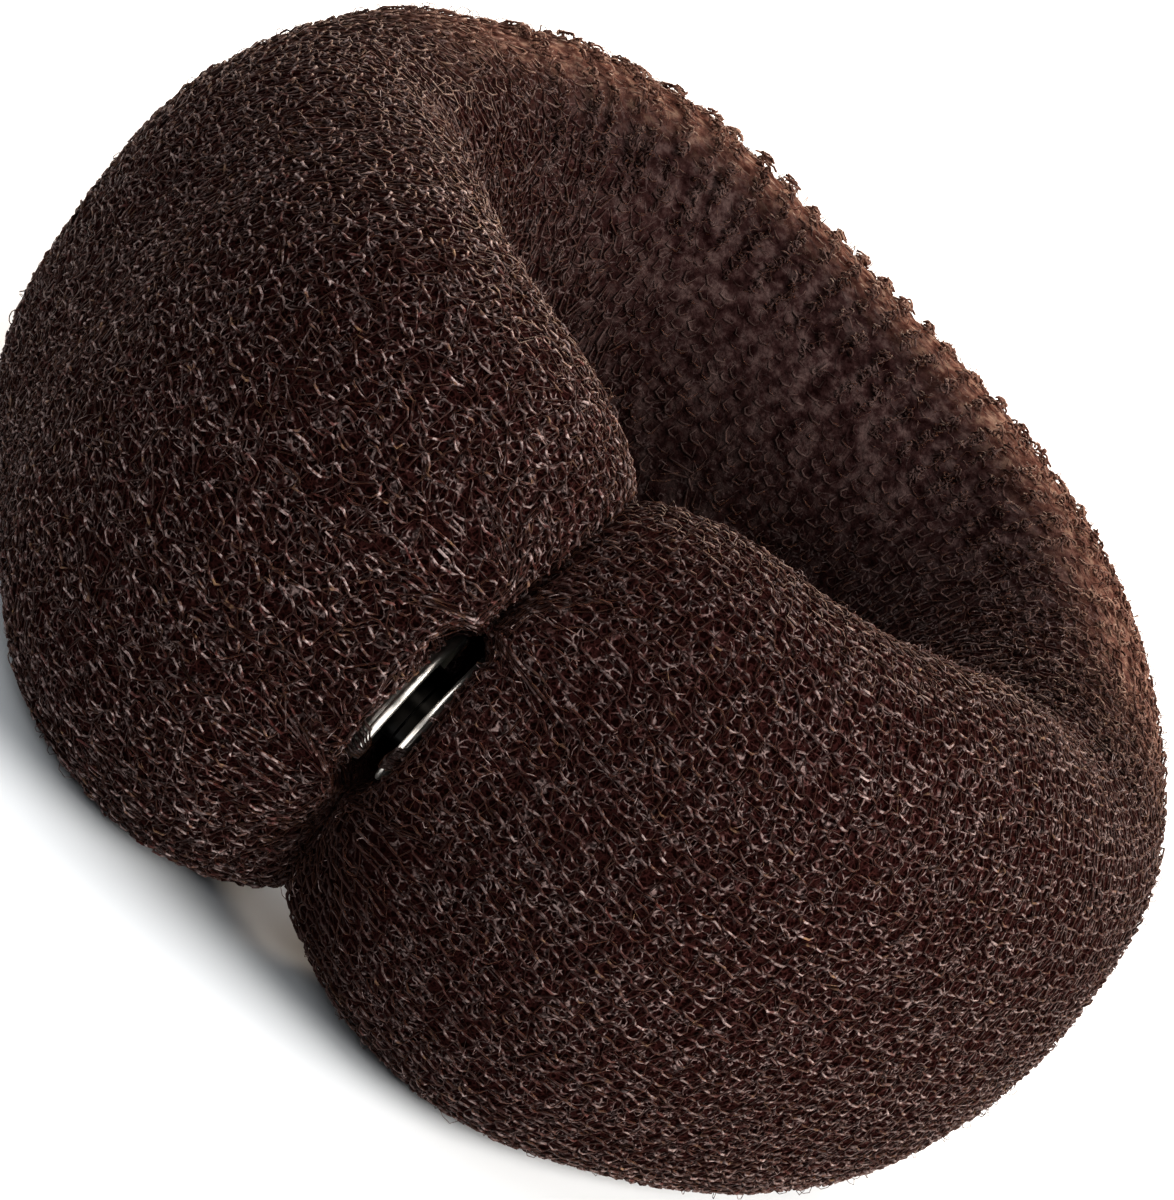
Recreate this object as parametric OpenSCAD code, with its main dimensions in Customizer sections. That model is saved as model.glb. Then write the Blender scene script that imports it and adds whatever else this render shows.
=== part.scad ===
// Hair donut: a padded roll of knitted mesh, bent into a ring that lies flat, with its two
// rounded ends pressed together at the front and held there by a sewn-on press stud.
// Millimetres. +Z is up through the ring, the crease between the ends faces -Y, and the
// origin is on the table, under the middle of the roll's box.

/* [Ring] */
// Width of the ring, left to right
ring_w = 108; // [98:1:124]
// Depth of the ring, front to back
ring_d = 96; // [90:1:112]
// Height of the roll as it lies
roll_h = 54; // [48:1:60]
// Thickness of the roll, from the hole to the outside
roll_t = 29; // [26:1:32]
// How far the table presses the underside flat
rest_flat = 0.6; // [0.4:0.1:1]

/* [Roll ends] */
// Length along the roll over which each end rounds off
end_round = 18.5; // [15:0.5:22]
// Height of the face where the two ends press together
face_h = 37.5; // [33:0.5:42]
// Thickness of that face
face_t = 19.5; // [17:0.5:22]
// Gap between the two ends
end_gap = 0.4; // [0.3:0.1:0.8]
// How far the crease bows to the left beside the press stud
crease_bow = 2.3; // [0:0.1:3]

/* [Press stud] */
// Diameter of both halves, over their rims
disc_d = 12.2; // [11:0.1:13.5]
// Clear gap between the two rims
rim_gap = 1.8; // [1.4:0.1:2.4]
// Thickness of the rolled rim on the left half
socket_rim = 0.7; // [0.5:0.1:1]
// Thickness of the rolled rim on the right half
stud_rim = 0.5; // [0.4:0.1:0.8]
// Height of the domed back of the left half
socket_dome = 1; // [0.6:0.1:1.4]
// Height of the domed back of the right half
stud_dome = 0.4; // [0.2:0.1:1.2]
// Thickness of the pressed sheet metal
sheet = 0.4; // [0.3:0.05:0.5]
// Diameter of the stud that snaps into the socket
pin_d = 3.8; // [3:0.1:4.4]
// Clearance around the stud, all round
pin_play = 0.15; // [0.1:0.05:0.3]
// How far the stud reaches past the middle of the gap
pin_reach = 1.2; // [0.8:0.1:1.5]
// Wall of the collar around the socket
collar_wall = 1.2; // [0.8:0.1:1.5]
// Gap between the collar and the shoulder of the stud
collar_gap = 0.2; // [0.15:0.05:0.3]
// Diameter of the sewing holes
sew_hole_d = 1.1; // [0.8:0.1:1.3]
// Sewing holes in each half
sew_holes = 4; // [3:1:5]
// How far the press stud sits outside the middle line of the roll
stud_out = 6.5; // [5:0.5:7.5]
// How far it sits above the middle of the roll's height
stud_up = 0.5; // [-1:0.5:3]
// Clearance between each back and the mesh that it is sewn to
seat_gap = 0.3; // [0.2:0.05:0.5]

/* [Hidden] */
// Columns of the section table. TURN is in degrees from the crease, by the right side.
// OUT is a share of the oval that the middle line follows, WALL of roll_t, TALL of roll_h.
TURN = 0;
OUT = 1;
WALL = 2;
TALL = 3;
sections = [
    [0, 1.00, 0.99, 1.02],
    [30, 1.01, 1.03, 0.96],
    [60, 0.965, 1.01, 0.96],
    [90, 0.98, 1.04, 0.88],
    [135, 1.005, 1.00, 0.945],
    [180, 0.98, 1.00, 0.97],
    [225, 1.01, 0.985, 1.005],
    [270, 1.00, 1.00, 0.93],
    [300, 0.93, 1.00, 0.98],
    [330, 1.06, 1.00, 1.01],
    [360, 0.98, 1.03, 1.02]
];

// Columns of the dent table. SIDE is -1 on the left end and 1 on the right. ACROSS counts
// to the right from the press stud and BACK from the front of the ring, both as shares of
// roll_t, as are SIZE and DEEP. UP is a share of roll_h.
SIDE = 0;
ACROSS = 1;
BACK = 2;
UP = 3;
SIZE = 4;
DEEP = 5;
dents = [
    [-1, -0.08, 0.16, 0.33, 0.30, 0.10],
    [1, 0.06, 0.16, 0.32, 0.28, 0.08],
    [1, 0.20, 0.10, 0.42, 0.24, 0.04],
    [-1, -0.04, 0.20, 0.70, 0.20, 0.03]
];

// The section is a superellipse, a little squarer than an ellipse
section_power = 2.25;
// Roundness of the ends, seen along the roll
end_power = 1.8;
// The seats are flat to just inside the rims and run out softly over seat_run, and they
// reach forward from the press stud over lip_run, on a slope of lip_slope
seat_inside = 0.8;
seat_run = 6;
seat_soft = 0.4;
seat_fade = 1;
lip_run = 7;
lip_slope = 0.45;
// The flat middle of each domed back, as a share of the disc
flat_share = 0.6;
// The flat tip of the stud, as a share of its radius
tip_share = 0.7;

// Points around a section, and rings on the end faces, the roundings and between them
around = 48;
face_rings = 8;
round_rings = 9;
body_rings = 42;
path_steps = 240;
// Turn to each side over which the direction of the middle line is taken
turn_step = 0.5;
// Points on each quarter curve of the metal
curve_steps = 6;
hole_sides = 24;
$fn = 64;

half_w = (ring_w - roll_t) / 2;
half_d = (ring_d - roll_t) / 2;

// Smooth value of a table column at a turn, level at both ends of the table
function row_at(t, i = 0) = i >= len(sections) - 2 || t < sections[i + 1][TURN] ? i : row_at(t, i + 1);
function slope(c, i) = i == 0 || i == len(sections) - 1 ? 0 :
    (sections[i + 1][c] - sections[i - 1][c]) / (sections[i + 1][TURN] - sections[i - 1][TURN]);
function smooth(c, t) =
    let (i = row_at(t), a = sections[i], b = sections[i + 1], w = b[TURN] - a[TURN],
         u = (t - a[TURN]) / w, m0 = slope(c, i) * w, m1 = slope(c, i + 1) * w)
    a[c] + u * m0 + u * u * (3 * (b[c] - a[c]) - 2 * m0 - m1)
        + u * u * u * (2 * (a[c] - b[c]) + m0 + m1);

// Middle line of the roll, seen from above, and the turn at a length along it
function oval(t) = 1 / sqrt(pow(sin(t) / half_w, 2) + pow(cos(t) / half_d, 2));
function middle(t) = oval(t) * smooth(OUT, t) * [sin(t), -cos(t)];
path = [for (i = [0:path_steps]) middle(360 * i / path_steps)];
lengths = [for (i = 0, sum = 0; i <= path_steps;
    sum = sum + norm(path[min(i + 1, path_steps)] - path[i]), i = i + 1) sum];
roll_length = lengths[path_steps];
turns = [for (i = [0:path_steps]) [lengths[i], 360 * i / path_steps]];
function outward(t) =
    let (d = middle(min(t + turn_step, 360)) - middle(max(t - turn_step, 0)))
    [d[1], -d[0]] / norm(d);

// A point of the plain roll: s along it, v around its section, share out from its middle
function fold(c) = sign(c) * pow(abs(c), 2 / section_power);
function swell(s) =
    let (d = min(s, roll_length - s) / end_round)
    d >= 1 ? 1 : pow(1 - pow(1 - d, end_power), 1 / end_power);
function plain(s, v, share) =
    let (t = lookup(s, turns), c = middle(t), n = outward(t), k = swell(s),
         half_t = face_t / 2 * (1 - k) + roll_t / 2 * smooth(WALL, t) * k,
         half_h = face_h / 2 * (1 - k) + roll_h / 2 * smooth(TALL, t) * k,
         across = half_t * share * fold(cos(v)))
    [c[0] + n[0] * across, c[1] + n[1] * across,
     roll_h / 2 * smooth(TALL, t) - rest_flat + half_h * share * fold(sin(v))];

// Place and depth of the press stud in the crease
disc_r = disc_d / 2;
stud_at = [-crease_bow, -half_d * smooth(OUT, 0) - stud_out,
    roll_h / 2 * smooth(TALL, 0) - rest_flat + stud_up];
socket_back = rim_gap / 2 + socket_rim + socket_dome;
stud_back = rim_gap / 2 + stud_rim + stud_dome;

// The crease bows to the left around the height of the press stud
function bowed(p) =
    let (high = (p[2] - stud_at[2]) / (roll_h / 2), wide = p[0] / end_round,
         give = max(0, 1 - high * high) * pow(max(0, 1 - wide * wide), 2))
    [p[0] - crease_bow * give, p[1], p[2]];

// A dent pushes towards the middle of the roll, where its rounding stops
function core(side) =
    let (t = lookup(side > 0 ? end_round : roll_length - end_round, turns), c = middle(t))
    [c[0], c[1], roll_h / 2 * smooth(TALL, t)];
cores = [core(-1), core(1)];
function press(p, side, dent) =
    let (at = [stud_at[0] + dent[ACROSS] * roll_t, -ring_d / 2 + dent[BACK] * roll_t, dent[UP] * roll_h],
         near = norm(p - at) / (dent[SIZE] * roll_t), to = cores[side > 0 ? 1 : 0] - p)
    side != dent[SIDE] || near >= 1 ? [0, 0, 0] :
        dent[DEEP] * roll_t * pow(1 - near * near, 2) * to / norm(to);
function dented(p, side) = p + [for (d = dents) 1] * [for (d = dents) press(p, side, d)];

// Each end stays clear of the back of its half of the press stud
function ease(u) = u <= 0 ? 1 : u >= 1 ? 0 : (1 + cos(180 * u)) / 2;
function seat(back, rho) = (back + seat_gap + seat_fade) * ease((rho - disc_r + seat_inside) / seat_run)
    - seat_fade;
lip = [-1, lip_slope] / norm([-1, lip_slope]);
function softly(x) = max(0, x) + ln(1 + exp(-abs(x)));
function seated(p, side) =
    let (from = [p[1] - stud_at[1], p[2] - stud_at[2]],
         rho = norm(from - lip * max(0, min(from * lip, lip_run))),
         short = seat(side > 0 ? stud_back : socket_back, rho) - side * (p[0] - stud_at[0]))
    [p[0] + side * seat_soft * softly(short / seat_soft), p[1], p[2]];

function resting(p) = [p[0], p[1], max(p[2], 0)];
function skin(s, v, share = 1) =
    let (side = s < roll_length / 2 ? 1 : -1)
    resting(seated(dented(bowed(plain(s, v, share)), side), side));

// Rings of points from the middle of the right end's face to that of the left end
function ring(s, share = 1) = [for (j = [0:around - 1]) skin(s, 360 * j / around, share)];
start = end_gap / 2;
stop = roll_length - start;
round_steps = [for (i = [0:round_rings - 1]) end_round * (1 - cos(90 * i / round_rings))];
rings = concat(
    [for (i = [1:face_rings - 1]) ring(start, i / face_rings)],
    [for (d = round_steps) ring(start + d)],
    [for (i = [0:body_rings]) ring(start + end_round + (stop - start - 2 * end_round) * i / body_rings)],
    [for (i = [round_rings - 1:-1:0]) ring(stop - round_steps[i])],
    [for (i = [face_rings - 1:-1:1]) ring(stop, i / face_rings)]
);
roll_points = concat([for (r = rings) each r], [skin(start, 0, 0), skin(stop, 0, 0)]);
last_ring = (len(rings) - 1) * around;
roll_faces = concat(
    [for (i = [0:len(rings) - 2], j = [0:around - 1])
        let (a = i * around + j, b = i * around + (j + 1) % around)
        each [[a, b, b + around], [a, b + around, a + around]]],
    [for (j = [0:around - 1]) [len(roll_points) - 2, (j + 1) % around, j]],
    [for (j = [0:around - 1]) [len(roll_points) - 1, last_ring + j, last_ring + (j + 1) % around]]
);

// Shift that puts the origin under the middle of the roll's box
function mid(c) = let (all = [for (p = roll_points) p[c]]) (max(all) + min(all)) / 2;
shift = [-mid(0), -mid(1), 0];

module mesh_roll() {
    color([0.21, 0.13, 0.11]) translate(shift) polyhedron(roll_points, roll_faces, convexity = 8);
}

// Outlines of the metal halves: radius, and distance from the middle of the gap to the back
function bead(r, h, rim) =
    [for (i = [0:2 * curve_steps]) let (a = 90 - 90 * i / curve_steps)
        [r + rim / 2 * cos(a), h + rim / 2 * sin(a)]];
pin_r = pin_d / 2;
bore_r = pin_r + pin_play;
collar_r = bore_r + collar_wall;
flat_r = disc_r * flat_share;

// A pressed disc: its domed back, its rolled rim and the hollow front up to radius r
function pressed_disc(rim, back) =
    let (edge = disc_r - rim / 2, h = rim_gap / 2 + rim / 2, inner = edge - max(sheet, rim / 2))
    concat(
        [[0, back]],
        [for (i = [0:curve_steps]) let (a = 90 * i / curve_steps)
            [flat_r + (edge - flat_r) * sin(a), h + rim / 2 + (back - h - rim / 2) * cos(a)]],
        bead(edge, h, rim),
        [for (i = [curve_steps:-1:0]) let (a = 90 * i / curve_steps)
            [flat_r + (inner - flat_r) * sin(a), h + (back - sheet - h) * cos(a)]]
    );

module sewn(side, rim, back) {
    difference() {
        rotate([0, side * 90, 0]) rotate_extrude() children();
        for (i = [0:sew_holes - 1])
            rotate([360 * (i + 0.5) / sew_holes, 0, 0])
                translate([0, (flat_r + disc_r - rim) / 2, 0])
                    rotate([0, side * 90, 0]) cylinder(h = back + sheet, d = sew_hole_d, $fn = hole_sides);
    }
}

module snap_socket() {
    color([0.80, 0.80, 0.78]) translate(shift + stud_at)
        sewn(-1, socket_rim, socket_back)
            polygon(concat(pressed_disc(socket_rim, socket_back), [
                [collar_r, socket_back - sheet],
                [collar_r, collar_gap / 2],
                [bore_r, collar_gap / 2],
                [bore_r, socket_back - sheet],
                [0, socket_back - sheet]
            ]));
}

module snap_stud() {
    color([0.80, 0.80, 0.78]) translate(shift + stud_at)
        sewn(1, stud_rim, stud_back)
            polygon(concat(pressed_disc(stud_rim, stud_back), [
                [collar_r, stud_back - sheet],
                [collar_r, collar_gap / 2],
                [pin_r, collar_gap / 2],
                [pin_r, -pin_reach / 2],
                [pin_r * tip_share, -pin_reach],
                [0, -pin_reach]
            ]));
}

mesh_roll();
snap_socket();
snap_stud();
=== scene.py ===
"""Hair donut: a padded roll of dark brown knitted net, lying flat as a ring, with a sewn-on press
stud between its two ends. The roll is a soft padded form. The net's courses of looped yarn, the
matted curls of its far edge, the frizz and the sewing thread lie on it as real thread, and its
far side is soft matted pile. The two halves of the press stud are the CAD solids in nickel."""
import math
from typing import NamedTuple

import bmesh
import bpy
import numpy as np
from mathutils import Matrix, Vector, noise
from mathutils.bvhtree import BVHTree


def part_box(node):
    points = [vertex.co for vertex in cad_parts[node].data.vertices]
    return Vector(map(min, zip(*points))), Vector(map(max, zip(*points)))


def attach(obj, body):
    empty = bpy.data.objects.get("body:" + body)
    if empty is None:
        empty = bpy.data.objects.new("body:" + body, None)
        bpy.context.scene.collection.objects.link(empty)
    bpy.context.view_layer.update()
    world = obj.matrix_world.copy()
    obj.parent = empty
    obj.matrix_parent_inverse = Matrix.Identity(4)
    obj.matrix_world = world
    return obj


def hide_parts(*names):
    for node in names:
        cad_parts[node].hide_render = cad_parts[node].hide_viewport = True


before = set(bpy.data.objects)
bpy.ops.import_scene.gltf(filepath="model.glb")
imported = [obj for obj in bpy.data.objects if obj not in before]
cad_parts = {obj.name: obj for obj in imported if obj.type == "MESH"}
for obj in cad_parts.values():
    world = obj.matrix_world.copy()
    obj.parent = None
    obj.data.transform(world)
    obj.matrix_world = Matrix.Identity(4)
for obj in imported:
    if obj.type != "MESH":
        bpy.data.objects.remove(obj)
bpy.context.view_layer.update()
MM = 0.001
TURN = 2 * math.pi
rng = np.random.default_rng(11)

# Camera at the photograph's angle

CAMERA_TURN = math.radians(2.03)
CAMERA_HEIGHT = math.radians(24.24)
CAMERA_ROLL = math.radians(41.98)
CAMERA_AWAY = 0.320
CAMERA_AIM = Vector((0.00027, 0.0, 0.02495))
LENS = 115.3


def add_camera():
    back = Vector((
        math.sin(CAMERA_TURN) * math.cos(CAMERA_HEIGHT),
        -math.cos(CAMERA_TURN) * math.cos(CAMERA_HEIGHT),
        math.sin(CAMERA_HEIGHT),
    ))
    right = Vector((math.cos(CAMERA_TURN), math.sin(CAMERA_TURN), 0))
    up = back.cross(right)
    rolled_right = right * math.cos(CAMERA_ROLL) + up * math.sin(CAMERA_ROLL)
    rolled_up = up * math.cos(CAMERA_ROLL) - right * math.sin(CAMERA_ROLL)
    data = bpy.data.cameras.new("photo_camera")
    data.sensor_width = 36
    data.lens = LENS
    data.clip_start = 0.01
    data.clip_end = 20
    camera = bpy.data.objects.new("photo_camera", data)
    bpy.context.scene.collection.objects.link(camera)
    turned = Matrix((rolled_right, rolled_up, back)).transposed().to_4x4()
    camera.matrix_world = Matrix.Translation(CAMERA_AIM + back * CAMERA_AWAY) @ turned
    bpy.context.scene.camera = camera


# The roll's own measures in millimetres, as in the part's source

RING_W = 108
RING_D = 96
ROLL_H = 54
ROLL_T = 29
REST_FLAT = 0.6
END_ROUND = 18.5
FACE_H = 37.5
FACE_T = 19.5
END_GAP = 0.4
CREASE_BOW = 2.3
STUD_UP = 0.5
SECTION_POWER = 2.25
END_POWER = 1.8
# Columns of the section table: the turn in degrees, and shares of the middle line's oval, of the
# thickness and of the height
SHARE_OUT, SHARE_WALL, SHARE_TALL = 1, 2, 3
SECTIONS = np.array([
    [0, 1.00, 0.99, 1.02],
    [30, 1.01, 1.03, 0.96],
    [60, 0.965, 1.01, 0.96],
    [90, 0.98, 1.04, 0.88],
    [135, 1.005, 1.00, 0.945],
    [180, 0.98, 1.00, 0.97],
    [225, 1.01, 0.985, 1.005],
    [270, 1.00, 1.00, 0.93],
    [300, 0.93, 1.00, 0.98],
    [330, 1.06, 1.00, 1.01],
    [360, 0.98, 1.03, 1.02],
])


def smooth(column, turn):
    """Smooth value of a table column at a turn in degrees, level at both ends."""
    knots = SECTIONS[:, 0]
    values = SECTIONS[:, column]
    slopes = np.zeros(len(knots))
    slopes[1:-1] = (values[2:] - values[:-2]) / (knots[2:] - knots[:-2])
    i = np.clip(np.searchsorted(knots, turn, "right") - 1, 0, len(knots) - 2)
    width = knots[i + 1] - knots[i]
    u = (turn - knots[i]) / width
    a, b, m0, m1 = values[i], values[i + 1], slopes[i] * width, slopes[i + 1] * width
    return a + u * m0 + u**2 * (3 * (b - a) - 2 * m0 - m1) + u**3 * (2 * (a - b) + m0 + m1)


TURNS = np.linspace(0, 360, 1441)
ANGLES = np.radians(TURNS)
OUT = smooth(SHARE_OUT, TURNS) / np.hypot(
    np.sin(ANGLES) * 2 / (RING_W - ROLL_T), np.cos(ANGLES) * 2 / (RING_D - ROLL_T)
)
MIDDLE = np.stack([OUT * np.sin(ANGLES), -OUT * np.cos(ANGLES)], 1)
ALONG = np.append(0, np.cumsum(np.linalg.norm(np.diff(MIDDLE, axis=0), axis=1)))
ROLL_LENGTH = ALONG[-1]
STEP = np.gradient(MIDDLE, TURNS, axis=0)
OUTWARD = np.stack([STEP[:, 1], -STEP[:, 0]], 1) / np.linalg.norm(STEP, axis=1)[:, None]
STUD_HEIGHT = ROLL_H / 2 * smooth(SHARE_TALL, np.array([0.0]))[0] - REST_FLAT + STUD_UP


def fold(c):
    """Cosine or sine of an angle, bent to the roll's squarish oval section."""
    return np.sign(c) * np.abs(c) ** (2 / SECTION_POWER)


def skin(s, v, share):
    """Points of the plain roll: s along it in mm, v around it, share out from its middle."""
    turn = np.interp(s, ALONG, TURNS)
    full = 1 - np.clip(np.minimum(s, ROLL_LENGTH - s) / END_ROUND, 0, 1)
    swell = (1 - full**END_POWER) ** (1 / END_POWER)
    half_t = FACE_T / 2 * (1 - swell) + ROLL_T / 2 * smooth(SHARE_WALL, turn) * swell
    half_h = FACE_H / 2 * (1 - swell) + ROLL_H / 2 * smooth(SHARE_TALL, turn) * swell
    across = half_t * share * fold(np.cos(v))
    x = np.interp(s, ALONG, MIDDLE[:, 0]) + np.interp(s, ALONG, OUTWARD[:, 0]) * across
    y = np.interp(s, ALONG, MIDDLE[:, 1]) + np.interp(s, ALONG, OUTWARD[:, 1]) * across
    z = ROLL_H / 2 * smooth(SHARE_TALL, turn) - REST_FLAT + half_h * share * fold(np.sin(v))
    high = (z - STUD_HEIGHT) / (ROLL_H / 2)
    wide = np.clip(1 - (x / END_ROUND) ** 2, 0, 1)
    return np.stack([x - CREASE_BOW * np.clip(1 - high**2, 0, 1) * wide**2, y, z], -1)


# Shared makers

THREAD_SIDES = 3


def join_object(name, mesh):
    """A finished piece that stays at the origin and rides on the ring."""
    piece = bpy.data.objects.new(name, mesh)
    bpy.context.scene.collection.objects.link(piece)
    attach(piece, "root")
    return piece


def final_mesh(obj, name):
    """A plain mesh of obj with its modifiers or bevel applied."""
    bpy.context.view_layer.update()
    graph = bpy.context.evaluated_depsgraph_get()
    mesh = bpy.data.meshes.new_from_object(obj.evaluated_get(graph), depsgraph=graph)
    mesh.name = name
    return mesh


def mesh_array(data, kind):
    """A row of three numbers for each entry of a mesh's vertices or normals."""
    values = np.zeros(len(data) * 3)
    data.foreach_get(kind, values)
    return values.reshape(-1, 3)


def keep_shares(mesh, shares):
    """Keeps each named share as an attribute of the mesh's points."""
    for label, values in shares.items():
        values = values.astype(np.float32)
        mesh.attributes.new(label, "FLOAT", "POINT").data.foreach_set("value", values)


def threads(name, lines, radius, thickness=None, shares=None):
    """A mesh of three-sided threads that follow lines, arrays of points in mm. Shares name the
    attributes that the mesh keeps, with their value at each point."""
    ring = bpy.data.curves.new(name + "_ring", "CURVE")
    ring.dimensions = "2D"
    ring.fill_mode = "NONE"
    spline = ring.splines.new("POLY")
    spline.points.add(THREAD_SIDES - 1)
    for k, point in enumerate(spline.points):
        turn = TURN * k / THREAD_SIDES
        point.co = (radius * MM * math.cos(turn), radius * MM * math.sin(turn), 0, 1)
    spline.use_cyclic_u = True
    ring_object = bpy.data.objects.new(name + "_ring", ring)
    bpy.context.scene.collection.objects.link(ring_object)
    data = bpy.data.curves.new(name, "CURVE")
    data.dimensions = "3D"
    data.bevel_mode = "OBJECT"
    data.bevel_object = ring_object
    for n, line in enumerate(lines):
        spline = data.splines.new("POLY")
        spline.points.add(len(line) - 1)
        flat = np.ones((len(line), 4), np.float32)
        flat[:, :3] = line * MM
        spline.points.foreach_set("co", flat.ravel())
        if thickness is not None:
            spline.points.foreach_set("radius", thickness[n].astype(np.float32))
    curve = bpy.data.objects.new(name + "_lines", data)
    bpy.context.scene.collection.objects.link(curve)
    mesh = final_mesh(curve, name)
    mesh.shade_smooth()
    keep_shares(mesh, {
        label: np.repeat(np.concatenate(list(values)), THREAD_SIDES)
        for label, values in (shares or {}).items()
    })
    for obj in (curve, ring_object):
        bpy.data.objects.remove(obj)
    bm = bmesh.new()
    bm.from_mesh(mesh)
    open_ends = [edge for edge in bm.edges if edge.is_boundary]
    bmesh.ops.holes_fill(bm, edges=open_ends, sides=THREAD_SIDES)
    bmesh.ops.recalc_face_normals(bm, faces=bm.faces)
    bm.to_mesh(mesh)
    bm.free()
    return mesh


# The padded roll under the net

# How far the pad lies under the CAD roll, and past it where the two ends press together
PAD_UNDER = 0.45
CREASE_PRESS = 0.25
# In front of this place the ends press together, and over this range of distances from the press
# stud, in metres, the pad leaves the CAD's skin
PRESSED_FRONT = -18
STUD_CLEAR = (0.007, 0.013)
# Points of the CAD roll this near to each other, in metres, are one
WELD = 0.00002
# Inner pressure of the cover, its steps, and the most that it swells in mm
PAD_PRESSURE = 4.0
SWELL_STEPS = 20
PAD_SWELL = 0.8
# Height of the lumps, and the size of wide and small ones
LUMP = 0.4
LUMP_WIDE, LUMP_SMALL = 13, 6
PAD_LOWEST = 0.2
# The faces of the two ends lie this near to the crease and in front of this place, and behind
# the last one the two halves of the roll overlap when they are searched
CREASE_NEAR = 8
CREASE_BACK = -14
HALVES_BACK = 20
# The mesh is sewn to the press stud and hugs it: how far each side's lip reaches forward over
# its back, and how deep behind the back that is felt
HUG_FORWARD = {-1: 1.5, 1: 1.7}
HUG_REACH = {-1: 5.0, 1: 9.0}
# Above and below the press stud the lips close on each other, seen along this slope
CLOSE_SLOPE = (-0.411, 0.911)
CLOSE_SHARE = 0.8
# Beside the press stud they stand this far from the crease's middle, so its rims are seen
OPEN_ROOM = {-1: 2.7, 1: 2.0}
# The domed backs fall away to the rims by these depths, from the flat middle to the rim's radius
DOME_FALL = {-1: 1.0, 1: 0.4}
DOME_FLAT = 3.6
# Painted shade beside the lower crease: the ranges over which it fades, to the right and left of
# it, upwards and backwards
SHADE_RIGHT, SHADE_LEFT = (1, 12), (0, 3)
SHADE_UP, SHADE_BACK = (18, 31), (-38, -28)
SHADE_DEPTH = 0.88
# Soft pile begins over this range towards the back, and ends over this one from the hole outwards
SOFT_BACK = (5, 24)
SOFT_OUT = (1.04, 1.32)
# Painted light of the far top edge, a lighter brown that stands in for light coming through the
# pile: from where to where across the roll, backwards and upwards
WARM_IN, WARM_OUT = (0.82, 1.04), (1.16, 1.34)
WARM_BACK = (-4, 18)
WARM_UP = (33, 46)


def stud_frame():
    """Middle of the press stud, its radius and the places of its two backs, in mm."""
    low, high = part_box("snap_socket")
    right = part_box("snap_stud")[1].x / MM
    middle = (low + high) / 2 / MM
    return middle, (high.z - low.z) / 2 / MM, {-1: low.x / MM, 1: right}


def ease(low, high, value):
    """0 up to low and 1 from high on, smooth between them."""
    t = np.clip((value - low) / (high - low), 0, 1)
    return t * t * (3 - 2 * t)


def fade(low, high, value):
    """1 up to low and 0 from high on, smooth between them."""
    return 1 - ease(low, high, value)


def crease_at(z):
    """Place of the crease's middle across the ring, at a height, in mm."""
    return -CREASE_BOW * np.clip(1 - ((z - STUD_HEIGHT) / (ROLL_H / 2)) ** 2, 0, 1)


def crease_shade(points):
    """Share of light left by the painted shade beside the lower crease, where the fabric is painted
    dark.
    """
    x, y, z = points[..., 0], points[..., 1], points[..., 2]
    right = ease(*SHADE_RIGHT, x - crease_at(z))
    left = ease(*SHADE_LEFT, crease_at(z) - x)
    beside = np.where(x > crease_at(z), right, left)
    low = fade(*SHADE_UP, z) * fade(*SHADE_BACK, y)
    return 1 - SHADE_DEPTH * (1 - beside) * low


def out_share(points):
    """Distance from the ring's axis, as a share of the oval that its middle line follows."""
    return np.hypot(points[..., 0] * 2 / (RING_W - ROLL_T), points[..., 1] * 2 / (RING_D - ROLL_T))


def softness(points):
    """Share of soft matted pile, on the far side's inner and upper surface."""
    return ease(*SOFT_BACK, points[..., 1]) * fade(*SOFT_OUT, out_share(points))


def backlight_share(points):
    """Share of painted backlight: a lighter brown painted along the far top edge for light that
    comes through the pile.
    """
    edge = ease(*WARM_IN, out_share(points)) * fade(*WARM_OUT, out_share(points))
    return edge * ease(*WARM_BACK, points[..., 1]) * ease(*WARM_UP, points[..., 2])


def draw_forward(points, normals, dy, dz, rho):
    """Each lobe's lip drawn forward over its half's back, and against the back's dome."""
    disc, backs = stud_frame()[1:]
    front = ease(-0.1, 0.65, -dy / rho)
    moved = points.copy()
    for side, back in backs.items():
        deep = side * (points[..., 0] - back)
        own = (deep > -0.6) & (points[..., 1] < -30) & ((side * normals[..., 0] < 0.2) | (deep > 4))
        share = front * ease(1.0, 4.5, rho) * fade(disc + 1, disc + 8, rho)
        share *= fade(0, HUG_REACH[side], deep)
        push = np.where(own, HUG_FORWARD[side] * share, 0)
        moved[..., 1] += push * dy / rho
        moved[..., 2] += push * dz / rho
        lip = ease(DOME_FLAT, disc - 0.2, rho) * fade(disc + 1.5, disc + 6, rho)
        lip *= fade(2, 5, deep) * own
        moved[..., 0] -= side * DOME_FALL[side] * lip
    return moved


def shut_lips(moved, points, up, rho):
    """Draws both lobes to the crease's middle above and below the press stud."""
    disc = stud_frame()[1]
    shut = ease(disc, disc + 1.4, np.abs(up)) * fade(disc + 4, disc + 11, np.abs(up))
    shut *= fade(-36, -30, points[..., 1])
    away = moved[..., 0] - crease_at(points[..., 2])
    wide = np.abs(away)
    start = np.where(away < 0, disc + 0.5, disc - 0.1)
    least = 0.3 + 1.6 * fade(0, 0.7, rho - start)
    near = np.clip(wide - least, 0, None) * fade(5, 11, wide)
    moved[..., 0] -= np.sign(away) * near * CLOSE_SHARE * shut


def open_lips(moved, points, up, dy, rho):
    """Keeps both lobes clear of the rims where these are seen from the front."""
    disc = stud_frame()[1]
    seen = fade(disc - 0.3, disc + 0.5, np.abs(up)) * ease(-0.3, 0.0, -dy / rho)
    seen *= ease(disc - 0.3, disc + 0.1, rho) * fade(disc + 3, disc + 6, rho)
    away = moved[..., 0] - crease_at(points[..., 2])
    room = np.where(away < 0, OPEN_ROOM[-1], OPEN_ROOM[1]) * seen
    moved[..., 0] += np.sign(away) * np.clip(room - np.abs(away), 0, None)


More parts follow.
